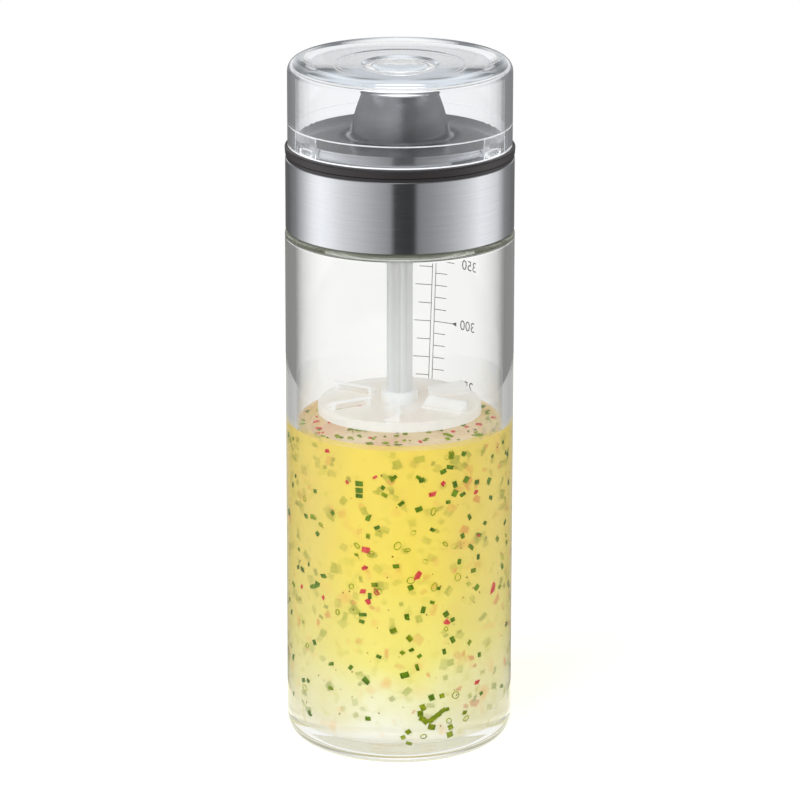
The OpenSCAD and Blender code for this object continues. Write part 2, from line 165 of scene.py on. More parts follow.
# Levels of the studio by azimuth, where 0 is the camera's side: what metal and outer faces mirror level with
# the bottle, what anything mirrors above it, what glass shows by reflection inside its walls, and what is
# seen through it. The last row is what lights plain surfaces.
MIRRORED = [
    (-180, 0.14), (-150, 0.14), (-129, 0.32), (-113, 0.8), (-99, 1.3), (-87, 1.5), (-75, 1.36), (-58, 1.02),
    (-40, 0.78), (-24, 0.55), (-9.5, 0.38), (-5.5, 0.03), (14.5, 0.03), (18, 0.31), (32, 0.42), (50, 0.62),
    (68, 0.92), (88, 1.32), (101, 1.2), (114, 0.98), (130, 0.33), (150, 0.2), (180, 0.14)]
MIRRORED_ABOVE = [
    (-180, 0.2), (-173, 0.26), (-166, 1.0), (-156, 0.9), (-140, 0.3), (-100, 0.32), (-69, 0.34), (-26, 0.44),
    (-8, 0.42), (2, 0.3), (13, 0.1), (42, 0.12), (69, 0.22), (100, 0.3), (140, 0.28), (156, 0.7), (166, 0.8),
    (173, 0.26), (180, 0.2)]
INSIDE = [
    (-180, 0.3), (-140, 0.24), (-100, 0.3), (-60, 0.5), (-28, 1.0), (28, 1.0), (60, 0.5), (100, 0.3),
    (140, 0.22), (180, 0.3)]
INSIDE_ABOVE = 0.95
SOFT = [
    (-180, 0.9), (-120, 0.5), (-90, 0.3), (-60, 0.6), (-25, 1.35), (25, 1.35), (60, 0.6), (90, 0.3),
    (120, 0.5), (180, 0.9)]
SEEN_THROUGH = [
    (-180, 1.05), (-170, 0.96), (-160, 0.74), (-150, 0.36), (-130, 0.2), (-60, 0.5), (-20, 1.0), (20, 1.0),
    (60, 0.5), (130, 0.18), (150, 0.3), (160, 0.62), (170, 0.9), (180, 1.05)]


def by_azimuth(n, position, *rows):
    """Levels from rows of (azimuth, level) in a direction or at a place."""
    parts = n.add("ShaderNodeSeparateXYZ", {0: position})
    back = n.math("MULTIPLY", parts.outputs["Y"], -1)
    turn = n.math("MULTIPLY_ADD", n.math("ARCTAN2", parts.outputs["X"], back), 0.5 / math.pi, 0.5)
    return [n.ramp(turn, [(0.5 + azimuth / 360, value) for azimuth, value in row]) for row in rows]


def studio(n, position):
    """Level of the studio that a mirrored or refracted ray meets in a direction or at a place."""
    parts = n.add("ShaderNodeSeparateXYZ", {0: position})
    level, above, inside, through = by_azimuth(n, position, MIRRORED, MIRRORED_ABOVE, INSIDE, SEEN_THROUGH)
    path = n.add("ShaderNodeLightPath")
    walls = path.outputs["Transmission Depth"]
    in_wall = n.math("MULTIPLY", n.math("GREATER_THAN", walls, 0.5), n.math("LESS_THAN", walls, 3.5))
    level = n.blend(in_wall, level, inside)
    above = n.blend(in_wall, above, INSIDE_ABOVE)
    rise = n.math("MULTIPLY_ADD", parts.outputs["Z"], 6.0, 0.5, clamp=True)
    level = n.blend(rise, level, above)
    overhead = n.math("MULTIPLY", n.math("SUBTRACT", parts.outputs["Z"], 0.86), 6.0, clamp=True)
    level = n.math("MAXIMUM", level, overhead)
    return n.blend(n.math("GREATER_THAN", path.outputs["Glossy Depth"], 0.5), through, level)


def world():
    bpy.context.scene.world = bpy.data.worlds.new("studio")
    bpy.context.scene.world.use_nodes = True
    n = Nodes(bpy.context.scene.world.node_tree)
    direction = n.add("ShaderNodeTexCoord").outputs["Generated"]
    level = studio(n, direction)
    path = n.add("ShaderNodeLightPath")
    shaped = n.add("ShaderNodeBackground", {"Color": (1, 1, 1, 1), "Strength": level})
    soft = by_azimuth(n, direction, SOFT)[0]
    warm = n.math("MULTIPLY", n.math("SUBTRACT", 1.0, soft), 1.5, clamp=True)
    plain = n.add("ShaderNodeBackground", {"Color": n.tone(warm, (0.98, 0.99, 1.0), (1.0, 0.84, 0.56)), "Strength": soft})
    white = n.add("ShaderNodeBackground", {"Color": (1, 1, 1, 1), "Strength": 1.0})
    sharp = n.math("MAXIMUM", path.outputs["Is Glossy Ray"], path.outputs["Is Transmission Ray"])
    seen = n.mix(sharp, plain.outputs[0], shaped.outputs[0])
    seen = n.mix(path.outputs["Is Camera Ray"], seen, white.outputs[0])
    n.tree.links.new(seen, n.add("ShaderNodeOutputWorld").inputs["Surface"])


# Floor under the bottle as glass shows it: evenly bright, with a painted warm pool of light that stands in for the
# light coming down through the dressing
PAINTED_POOL_LEVEL = 1.1
PAINTED_POOL_TONE = (1.0, 0.985, 0.84)


def stage():
    """A round white floor. Mirrored and refracted rays see the studio's level in it."""
    mat, n = material("floor_white")
    level = studio(n, n.add("ShaderNodeTexCoord").outputs["Object"])
    path = n.add("ShaderNodeLightPath")
    lit = n.add("ShaderNodeBsdfDiffuse", {"Color": (0.8, 0.8, 0.8, 1)})
    glow = n.add("ShaderNodeEmission", {"Strength": n.math("MULTIPLY", path.outputs["Is Camera Ray"], 0.5)})
    place = n.add("ShaderNodeVectorMath", {0: n.add("ShaderNodeTexCoord").outputs["Object"]}, operation="LENGTH")
    # Painted pool of light: inside 1.7 bottle radii, mirrored and refracted rays see a set level and a warm tone.
    under = n.math("LESS_THAN", place.outputs["Value"], 1.7 * GLASS_R)
    level = n.blend(under, level, PAINTED_POOL_LEVEL)
    shaped = n.add("ShaderNodeEmission", {"Color": n.tone(under, (1.0, 1.0, 1.0), PAINTED_POOL_TONE), "Strength": level})
    sharp = n.math("MAXIMUM", path.outputs["Is Glossy Ray"], path.outputs["Is Transmission Ray"])
    output(n, n.mix(sharp, n.plus(lit.outputs[0], glow.outputs[0]), shaped.outputs[0]))
    count, radius = 96, 0.4
    verts = [(0, 0, 0)]
    verts += [(radius * math.cos(2 * math.pi * i / count), radius * math.sin(2 * math.pi * i / count), 0)
              for i in range(count)]
    faces = [(0, i + 1, (i + 1) % count + 1) for i in range(count)]
    mesh = bpy.data.meshes.new("floor")
    mesh.from_pydata(verts, [], faces)
    mesh.materials.append(mat)
    floor = bpy.data.objects.new("floor", mesh)
    bpy.context.scene.collection.objects.link(floor)


def lamp(name, place, aim, size, power):
    data = bpy.data.lights.new(name, "AREA")
    data.size = size
    data.energy = power
    lit = bpy.data.objects.new(name, data)
    lit.location = place
    lit.rotation_euler = (Vector(aim) - Vector(place)).to_track_quat("-Z", "Y").to_euler()
    lit.visible_glossy = False
    lit.visible_transmission = False
    bpy.context.scene.collection.objects.link(lit)


# Mesh helpers

def link(name, mesh, body):
    piece = bpy.data.objects.new(name, mesh)
    bpy.context.scene.collection.objects.link(piece)
    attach(piece, body)
    return piece


def smooth(obj, angle=32):
    """Smooth shading that keeps edges sharper than the angle."""
    mesh = obj.data
    mesh.polygons.foreach_set("use_smooth", [True] * len(mesh.polygons))
    mesh.set_sharp_from_angle(angle=math.radians(angle))


def rounded(corners, steps=7):
    """A closed outline from (r, z, radius) corners in mm, with each corner rounded by its radius."""
    outline = []
    count = len(corners)
    for i, (x, z, radius) in enumerate(corners):
        here = Vector((x, z))
        before = Vector(corners[i - 1][:2]) - here
        after = Vector(corners[(i + 1) % count][:2]) - here
        if radius <= 0:
            outline.append((x, z))
            continue
        angle = before.angle(after)
        reach = radius / math.tan(angle / 2)
        middle = here + (before.normalized() + after.normalized()).normalized() * (radius / math.sin(angle / 2))
        start = here + before.normalized() * reach - middle
        end = here + after.normalized() * reach - middle
        sweep = math.atan2(start.x * end.y - start.y * end.x, start.dot(end))
        for k in range(steps + 1):
            a = sweep * k / steps
            outline.append((middle.x + start.x * math.cos(a) - start.y * math.sin(a),
                            middle.y + start.x * math.sin(a) + start.y * math.cos(a)))
    return outline


def revolve(name, outline, segments=160):
    """A mesh turned round the Z axis from a closed outline in mm."""
    return columns(name, [(360 * k / segments, outline) for k in range(segments)])


def columns(name, sides):
    """A mesh round the Z axis from (angle, outline) pairs in mm, with as many points in each outline."""
    verts, rings = [], []
    for i in range(len(sides[0][1])):
        if all(outline[i][0] < 1e-6 for angle, outline in sides):
            rings.append([len(verts)])
            verts.append((0, 0, sides[0][1][i][1] * MM))
            continue
        rings.append(list(range(len(verts), len(verts) + len(sides))))
        for angle, outline in sides:
            r, z = outline[i]
            a = math.radians(angle)
            verts.append((r * MM * math.cos(a), r * MM * math.sin(a), z * MM))
    faces = []
    for i in range(len(rings)):
        a, b = rings[i], rings[(i + 1) % len(rings)]
        if len(a) == 1 and len(b) == 1:
            continue
        for k in range(len(sides)):
            j = (k + 1) % len(sides)
            if len(a) == 1:
                faces.append((a[0], b[j], b[k]))
            elif len(b) == 1:
                faces.append((a[k], a[j], b[0]))
            else:
                faces.append((a[k], a[j], b[j], b[k]))
    return mesh_of(name, verts, faces)


def mesh_of(name, verts, faces):
    mesh = bpy.data.meshes.new(name)
    mesh.from_pydata(verts, [], faces)
    mesh.validate()
    mesh.update()
    return mesh


def angles(segments, edges):
    """Even angles round the circle, with a pair of close ones at each edge."""
    step = 0.06
    even = [360 * k / segments for k in range(segments)]
    pairs = [(edge + side) % 360 for edge in edges for side in (-step, step)]
    clear = [a for a in even if all(abs((a - edge + 180) % 360 - 180) > 3 * step for edge in edges)]
    return sorted(clear + pairs)


def near(angle, middles, half):
    return any(abs((angle - middle + 180) % 360 - 180) < half for middle in middles)


def dress(node, mat, angle=32):
    """Gives a CAD node its material and smooth shading."""
    obj = nodes[node]
    obj.data.materials.clear()
    obj.data.materials.append(mat)
    smooth(obj, angle)


# Materials

def guided(n, path, body, tone, levels):
    """Gives light to rays that a clear wall leads on between its faces, with six soft lobes round the axis."""
    place = n.add("ShaderNodeTexCoord").outputs["Object"]
    parts = n.add("ShaderNodeSeparateXYZ", {0: place})
    angle = n.math("ARCTAN2", parts.outputs["X"], parts.outputs["Y"])
    wave = n.math("COSINE", n.math("MULTIPLY", angle, 6.0))
    across = n.add("ShaderNodeCombineXYZ", {"X": parts.outputs["X"], "Y": parts.outputs["Y"]})
    radius = n.add("ShaderNodeVectorMath", {0: across.outputs[0]}, operation="LENGTH").outputs["Value"]
    outside = n.math("MULTIPLY", n.math("SUBTRACT", radius, 12 * MM), 1 / (6 * MM), clamp=True)
    low, high = levels
    level = n.math("MULTIPLY_ADD", wave, (high - low) / 2, (high + low) / 2)
    level = n.blend(outside, high * 0.85, level)
    glow = n.add("ShaderNodeEmission", {"Color": (*tone, 1), "Strength": level})
    return n.mix(n.math("GREATER_THAN", path.outputs["Glossy Depth"], 2.5), body, glow.outputs[0])


def clear_material(name):
    """Clear plastic that casts no shadow of its own. Its lugs are faintly frosted; its mouth and the step over its band
    are painted highlight lines in white. All of them glow a little, which is painted light.
    """
    mat, n = material(name)
    plastic = n.add("ShaderNodeBsdfGlass", {"Color": (0.988, 0.992, 0.997, 1), "IOR": 1.49, "Roughness": 0.0})
    through = n.add("ShaderNodeBsdfTransparent", {"Color": (1, 1, 1, 1)})
    place = n.add("ShaderNodeTexCoord").outputs["Object"]
    parts = n.add("ShaderNodeSeparateXYZ", {0: place})
    across = n.add("ShaderNodeCombineXYZ", {"X": parts.outputs["X"], "Y": parts.outputs["Y"]})
    radius = n.add("ShaderNodeVectorMath", {0: across.outputs[0]}, operation="LENGTH").outputs["Value"]
    up = n.math("SUBTRACT", parts.outputs["Z"], cap_low.z)
    inner = n.math("LESS_THAN", radius, cap_high.x - 1.2 * MM)
    # Painted highlights: thin white lines at the step over the band and round the mouth.
    step = n.math("MULTIPLY", inner, n.math("COMPARE", up, (CAP_BAND_H + 0.05) * MM, 0.16 * MM))
    mouth = n.math("LESS_THAN", up, 0.24 * MM)
    lugs = n.math("MULTIPLY", n.math("LESS_THAN", radius, (CAP_PAD_R + 0.12) * MM), n.math("LESS_THAN", up, CAP_BAND_H * MM))
    grain = n.add("ShaderNodeTexNoise", {"Vector": place, "Scale": 900.0, "Detail": 2.0}).outputs[0]
    frost_and_highlight = n.math("MAXIMUM", n.math("MULTIPLY", step, 0.6), n.math("MULTIPLY", lugs, 0.14))
    frost_and_highlight = n.math("MULTIPLY", frost_and_highlight, n.math("MULTIPLY_ADD", grain, 0.6, 0.7), clamp=True)
    frost_and_highlight = n.math("MAXIMUM", frost_and_highlight, n.math("MULTIPLY", mouth, 0.92))
    white = n.add("ShaderNodeBsdfDiffuse", {"Color": (0.9, 0.93, 0.96, 1)})
    glow = n.add("ShaderNodeEmission", {
        "Color": (0.92, 0.95, 1, 1), "Strength": n.math("MULTIPLY_ADD", mouth, 0.2, 0.3)})
    body = n.mix(frost_and_highlight, plastic.outputs[0], n.plus(white.outputs[0], glow.outputs[0]))
    path = n.add("ShaderNodeLightPath")
    body = guided(n, path, body, (0.9, 0.95, 1.0), (0.22, 1.0))
    soft = n.math("MAXIMUM", path.outputs["Is Shadow Ray"], path.outputs["Is Diffuse Ray"])
    output(n, n.mix(soft, body, through.outputs[0]))
    return mat


def glass_material():
    """Clear glass. Where the dressing wets it, its inner wall doesn't refract. On its shoulder lies a dark olive band
    of painted shade with a faint glow.
    """
    mat, n = material("clear_glass")
    place = n.add("ShaderNodeTexCoord").outputs["Object"]
    parts = n.add("ShaderNodeSeparateXYZ", {0: place})
    across = n.add("ShaderNodeCombineXYZ", {"X": parts.outputs["X"], "Y": parts.outputs["Y"]})
    radius = n.add("ShaderNodeVectorMath", {0: across.outputs[0]}, operation="LENGTH").outputs["Value"]
    # Painted shade: a band on the shoulder below the collar, where the glass tints greener and dark olive is mixed in.
    edge = n.math("MULTIPLY", n.math("SUBTRACT", parts.outputs["Z"], (SHOULDER_Z - 1.9) * MM), 1 / (1.4 * MM), clamp=True)
    neck = n.math("MULTIPLY", n.math("SUBTRACT", parts.outputs["Z"], (SHOULDER_Z + 1.0) * MM), 1 / MM, clamp=True)
    edge = n.math("SUBTRACT", edge, neck, clamp=True)
    tint = n.ramp(edge, [(0.0, (0.988, 0.99, 0.985)), (1.0, (0.93, 0.94, 0.88))])
    glass = n.add("ShaderNodeBsdfGlass", {"Color": tint, "IOR": 1.5, "Roughness": 0.0})
    through = n.add("ShaderNodeBsdfTransparent", {"Color": (1, 1, 1, 1)}).outputs[0]
    wet = n.math("LESS_THAN", parts.outputs["Z"], LIQUID_Z * MM)
    wet = n.math("MULTIPLY", wet, n.math("LESS_THAN", radius, (BORE_R + 0.4) * MM))
    wet = n.math("MULTIPLY", wet, n.math("GREATER_THAN", parts.outputs["Z"], 4 * MM))
    path = n.add("ShaderNodeLightPath")
    soft = n.math("MAXIMUM", path.outputs["Is Shadow Ray"], path.outputs["Is Diffuse Ray"])
    clear = n.math("MAXIMUM", wet, soft)
    body = guided(n, path, glass.outputs[0], (0.93, 0.95, 0.9), (0.35, 0.8))
    olive = n.add("ShaderNodeBsdfDiffuse", {"Color": (0.13, 0.14, 0.11, 1)})
    glow = n.add("ShaderNodeEmission", {"Color": (0.13, 0.14, 0.11, 1), "Strength": 0.1})
    frosted = n.mix(n.math("MULTIPLY", edge, 0.88), body, n.plus(olive.outputs[0], glow.outputs[0]))
    output(n, n.mix(clear, frosted, through))
    return mat


STEEL_SHADES = [(0.3, (0.565, 0.58, 0.61)), (0.7, (0.645, 0.66, 0.685))]
# Tone of the painted shade at the foot of the spout's cone
PAINTED_FOOT_SHADE = (0.2, 0.205, 0.22)


def steel_material(name, tone=1.0, foot=0.0):
    """Steel brushed round its axis. A foot height in metres paints shade on the fillet that stands there."""
    mat, n = material(name)
    place = n.add("ShaderNodeTexCoord").outputs["Object"]
    parts = n.add("ShaderNodeSeparateXYZ", {0: place})
    angle = n.math("ARCTAN2", parts.outputs["X"], parts.outputs["Y"])
    across = n.add("ShaderNodeCombineXYZ", {"X": parts.outputs["X"], "Y": parts.outputs["Y"]})
    radius = n.add("ShaderNodeVectorMath", {0: across.outputs[0]}, operation="LENGTH").outputs["Value"]
    lines = n.add("ShaderNodeCombineXYZ", {
        "X": n.math("MULTIPLY", angle, 2.4), "Y": n.math("MULTIPLY", radius, 8200.0),
        "Z": n.math("MULTIPLY", parts.outputs["Z"], 8200.0)})
    grain = n.add("ShaderNodeTexNoise", {"Vector": lines.outputs[0], "Scale": 1.0, "Detail": 3.0, "Roughness": 0.6})
    bump = n.add("ShaderNodeBump", {"Strength": 0.08, "Distance": 0.00005, "Height": grain.outputs[0]})
    rough = n.math("MULTIPLY_ADD", grain.outputs[0], 0.1, 0.12)
    shade = n.ramp(grain.outputs[0], [(at, tuple(tone * c for c in colour)) for at, colour in STEEL_SHADES])
    # Painted shade: darkest at the foot of the cone, fading out over 6 mm up and outside a radius of 16.2 mm.
    if foot:
        up = n.math("SUBTRACT", parts.outputs["Z"], foot + 0.9 * MM)
        depth = n.math("MULTIPLY", up, 1 / (6 * MM), clamp=True)
        out = n.math("MULTIPLY", n.math("SUBTRACT", radius, 16.2 * MM), 1 / (1.5 * MM), clamp=True)
        lit = n.math("MAXIMUM", depth, out)
        shade = n.tone(lit, PAINTED_FOOT_SHADE, shade)
    tangent = n.add("ShaderNodeTangent", direction_type="RADIAL", axis="Z")
    surface = n.add("ShaderNodeBsdfPrincipled", {
        "Base Color": shade, "Metallic": 1.0, "Roughness": rough, "Anisotropic": 0.8,
        "Anisotropic Rotation": 0.25, "Normal": bump.outputs[0], "Tangent": tangent.outputs[0]})
    output(n, surface.outputs[0])
    return mat


def plain_material(name, colour, rough, grain=0.0, spot=900.0, **more):
    """Moulded plastic or rubber: one colour with a faint mottle and a fine surface grain."""
    mat, n = material(name)
    place = n.add("ShaderNodeTexCoord").outputs["Object"]
    noise = n.add("ShaderNodeTexNoise", {"Vector": place, "Scale": spot, "Detail": 3.0})
    low = tuple(c * 0.93 for c in colour)
    shade = n.ramp(noise.outputs[0], [(0.3, low), (0.7, colour)])
    bump = n.add("ShaderNodeBump", {"Strength": grain, "Distance": 0.00005, "Height": noise.outputs[0]})
    inputs = {"Base Color": shade, "Roughness": rough, "Normal": bump.outputs[0], "Emission Color": (1, 1, 1, 1)}
    inputs.update(more)
    surface = n.add("ShaderNodeBsdfPrincipled", inputs)
    output(n, surface.outputs[0])
    return mat


def frosted_material(name, glowing):
    """Translucent white plastic: light passes, shapes behind it blur away."""
    mat, n = material(name)
    place = n.add("ShaderNodeTexCoord").outputs["Object"]
    noise = n.add("ShaderNodeTexNoise", {"Vector": place, "Scale": 700.0, "Detail": 2.0})
    bump = n.add("ShaderNodeBump", {"Strength": 0.1, "Distance": 0.00005, "Height": noise.outputs[0]})
    surface = n.add("ShaderNodeBsdfPrincipled", {
        "Base Color": (0.92, 0.95, 0.98, 1), "Roughness": 0.22, "Normal": bump.outputs[0],
        "Emission Color": (0.9, 0.95, 1, 1), "Emission Strength": glowing})
    glow = n.add("ShaderNodeBsdfTranslucent", {"Color": (0.97, 0.97, 0.97, 1)})
    through = n.add("ShaderNodeBsdfTransparent", {"Color": (0.97, 0.975, 0.975, 1)})
    body = n.mix(0.4, surface.outputs[0], glow.outputs[0])
    output(n, n.mix(0.42, body, through.outputs[0]))
    return mat


# Pieces

FLOOR_Z = 5.5
BORE_R = 29.5
SHOULDER_Z = 151.6
LIQUID_Z = 95.0
NECK_R = 29.0
LUG_R = 30.3
LUG_Z = (160.8, 163.8)
STOP_Z = 156.8
LUG_ANGLES = (0, 90, 180, 270)
LUG_HALF = 18.0
STOP_ARC = 3.0
LUG_CHAMFER = 0.6


def glass_outline(lug, stop):
    """Outline of the bottle in mm, through one of its neck lugs, a lug's stop or neither."""
    top = glass_high.z / MM
    outer = GLASS_R / MM
    lug_r = LUG_R if lug else NECK_R
    shape = LUG_CHAMFER if lug else 0
    stop_r = LUG_R if stop else NECK_R
    low, high = LUG_Z
    body = rounded([
        (0, 1.2, 0), (12, 0.9, 0), (22.5, 0, 0.6), (outer, 0, 6), (outer, SHOULDER_Z, 1.8),
        (NECK_R, SHOULDER_Z, 0.8), (NECK_R, top, 1), (25.5, top, 1), (25.5, SHOULDER_Z - 2.2, 1),
        (BORE_R, SHOULDER_Z - 2.2, 1.2), (BORE_R, FLOOR_Z, 4.5), (0, FLOOR_Z, 0)], steps=9)
    at = next(i for i, (r, z) in enumerate(body) if z > SHOULDER_Z + 2 and r > 27)
    neck = [(NECK_R, STOP_Z), (stop_r, STOP_Z + 0.02), (stop_r, low - 0.02), (max(stop_r, lug_r - shape), low),
            (lug_r, low + LUG_CHAMFER), (lug_r, high - LUG_CHAMFER), (lug_r - shape, high - 0.02), (NECK_R, high)]
    return body[:at] + neck + body[at:]


def glass():
    stops = [middle - LUG_HALF + STOP_ARC / 2 for middle in LUG_ANGLES]
    sides = [(a, glass_outline(near(a, LUG_ANGLES, LUG_HALF), near(a, stops, STOP_ARC / 2)))
             for a in angles(240, [])]
    mesh = columns("glass", sides)
    mesh.materials.append(glass_material())
    piece = link("glass_shell", mesh, "bottle")
    smooth(piece, 40)
    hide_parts("glass_bottle")


CAP_WALL = 2.2
CAP_RELIEF = 0.4
CAP_BAND_H = 6.05
CAP_LUG_ANGLES = (90, 210, 330)
CAP_PAD_HALF = 10.0
CAP_LUG_HALF = 5.25
CAP_PAD_R = 29.45
CAP_LUG_R = 28.05


def cap_outline(pad, lug):
    """Outline of the cap in mm, through a pad, a lug on a pad or neither."""
    outer = CAP_R / MM
    low, top = cap_low.z / MM, cap_high.z / MM
    inner = outer - CAP_WALL
    band = inner + CAP_RELIEF
    boss_low = seal_high.z / MM - 1.9
    pad_r = CAP_PAD_R if pad else band
    lug_r = CAP_LUG_R if lug else pad_r
    step = 0.02
    closing = [(band, low + CAP_BAND_H - 0.25), (pad_r, low + CAP_BAND_H - 0.25 - step), (pad_r, low + 1.9 + step),
               (lug_r, low + 1.9), (lug_r, low + 0.1 + 2 * step), (pad_r, low + 0.1 + step), (band, low + 0.1)]
    return rounded([
        (band, low, 0), (outer, low, 0.25), (outer, top, 3.5), (27.2, top, 0.8), (25, top - 1.2, 1.2),
        (18.6, top - 1.3, 0.8), (17.8, top - 1.5, 0.8), (11, top - 1.5, 0.5), (10, top - 2.0, 0.5),
        (8.1, top - 2.0, 0.5), (7.1, top - 1.5, 0.5), (3.6, top - 1.1, 3), (0, top - 1.0, 0),
        (0, top - 3.4, 0), (7.2, top - 3.4, 0.3), (7.2, boss_low, 0.2), (10.2, boss_low, 0.2),
        (10.2, top - 3.4, 0.4), (25, top - 3.4, 0), (inner, top - 2.4, 0.8), (inner, low + CAP_BAND_H, 0),
        (band, low + CAP_BAND_H, 0)], steps=7) + closing


def cap():
    edges = [middle + side for middle in CAP_LUG_ANGLES
             for side in (-CAP_PAD_HALF, -CAP_LUG_HALF, CAP_LUG_HALF, CAP_PAD_HALF)]
    sides = [(a, cap_outline(near(a, CAP_LUG_ANGLES, CAP_PAD_HALF), near(a, CAP_LUG_ANGLES, CAP_LUG_HALF)))
             for a in angles(180, edges)]
    mesh = columns("cap", sides)
    mesh.materials.append(clear_material("clear_plastic"))
    piece = link("cap_shell", mesh, "cap")
    smooth(piece, 40)
    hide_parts("clear_cap")


# The dressing lies in three skins, one inside the other, so that what floats in it fades with its depth:
# (name, radius in mm, how clear it is, how much it glows)
SKINS = [("dressing_outer", 28.9, 0.5, 0.25), ("dressing_middle", 26.2, 0.55, 0.5), ("dressing_inner", 22.6, 0.0, 0.68)]
DEEP_TONES = [
    (0.06, (0.99, 0.99, 0.92)), (0.2, (0.96, 0.96, 0.62)), (0.32, (0.97, 0.9, 0.26)),
    (0.6, (0.99, 0.82, 0.13)), (1.0, (0.98, 0.79, 0.13))]
# Duller, darker tones of painted shade for the left and right sides of the dressing
SIDE_SHADE_TONES = [
    (0.06, (0.9, 0.88, 0.7)), (0.2, (0.88, 0.84, 0.44)), (0.36, (0.88, 0.8, 0.27)),
    (0.6, (0.89, 0.75, 0.19)), (1.0, (0.88, 0.71, 0.16))]


def liquid_material(name, clear, glowing):
    """Dressing: yellow, paler near the bottom, with soft spots of what floats deep in it. A duller, darker tone to the
    left and right is painted shade.
    """
    mat, n = material(name)
    place = n.add("ShaderNodeTexCoord").outputs["Object"]
    parts = n.add("ShaderNodeSeparateXYZ", {0: place})
    height = n.math("DIVIDE", parts.outputs["Z"], LIQUID_Z * MM)
    cloud = n.add("ShaderNodeTexNoise", {"Vector": place, "Scale": 55.0, "Detail": 2.0}).outputs[0]
    height = n.math("ADD", height, n.math("MULTIPLY_ADD", cloud, 0.2, -0.1))
    # Painted shade: towards the left and right in the dressing's own X the tone turns duller and darker.
    side_shade = n.math("ADD", n.math("ABSOLUTE", parts.outputs["X"]), n.math("MULTIPLY_ADD", cloud, 0.02, -0.01))
    side_shade = n.math("MULTIPLY", n.math("SUBTRACT", side_shade, 0.009), 1 / 0.014, clamp=True)
    tone = n.tone(side_shade, n.ramp(height, DEEP_TONES), n.ramp(height, SIDE_SHADE_TONES))
    red = n.add("ShaderNodeTexNoise", {"Vector": place, "Scale": 150.0, "Detail": 1.0}).outputs[0]
    red = n.math("MULTIPLY", n.math("SUBTRACT", red, 0.63), 5.0, clamp=True)
    tone = n.tone(red, tone, (0.95, 0.5, 0.14))
    moved = n.add("ShaderNodeVectorMath", {0: place, 1: (0.3, 0.1, 0.2)}).outputs[0]
    green = n.add("ShaderNodeTexNoise", {"Vector": moved, "Scale": 210.0, "Detail": 1.0}).outputs[0]
    green = n.math("MULTIPLY", n.math("SUBTRACT", green, 0.62), 5.0, clamp=True)
    tone = n.tone(green, tone, (0.62, 0.6, 0.08))
    facing = n.add("ShaderNodeSeparateXYZ", {0: n.add("ShaderNodeNewGeometry").outputs["Normal"]}).outputs["Z"]
    surface_tone = n.ramp(cloud, [(0.35, (0.78, 0.5, 0.34)), (0.6, (0.84, 0.72, 0.5))])
    on_top = n.math("GREATER_THAN", parts.outputs["Z"], (LIQUID_Z - 5) * MM)
    on_top = n.math("MULTIPLY", on_top, n.math("GREATER_THAN", facing, 0.6))
    tone = n.tone(on_top, tone, surface_tone)
    ripple = n.add("ShaderNodeTexNoise", {"Vector": place, "Scale": 140.0, "Detail": 2.0}).outputs[0]
    bump = n.add("ShaderNodeBump", {"Strength": 0.5, "Distance": 0.0006, "Height": ripple})
    surface = n.add("ShaderNodeBsdfPrincipled", {
        "Base Color": tone, "Roughness": 0.1, "IOR": 1.47, "Normal": bump.outputs[0]})
    glow = n.add("ShaderNodeEmission", {"Color": tone, "Strength": 1.0})
    body = n.mix(glowing, surface.outputs[0], glow.outputs[0])
    if clear:
        through = n.add("ShaderNodeBsdfTransparent", {"Color": (1, 1, 1, 1)})
        body = n.mix(clear, body, through.outputs[0])
    output(n, body)
    return mat


def dressing():
    for name, radius, clear, glowing in SKINS:
        drop = BORE_R - radius
        low = FLOOR_Z + 0.1 + drop * 0.5
        high = LIQUID_Z - drop * 0.3
        top = [(BORE_R - 0.04, high + 0.9, 0), (radius - 1.2, high, 1.0)] if radius > 28 else [(radius, high, 0.5)]
        side = [(radius, low, 4.0), (radius, high - 0.4, 0)] if radius > 28 else [(radius, low, 4.0)]
        outline = rounded([(0, low, 0)] + side + top + [(0, high, 0)], steps=8)
        mesh = revolve(name, outline, 144)
        mesh.materials.append(liquid_material(name, clear, glowing))
        piece = bpy.data.objects.new(name, mesh)
        bpy.context.scene.collection.objects.link(piece)
        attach(piece, "bottle")
        smooth(piece, 40)


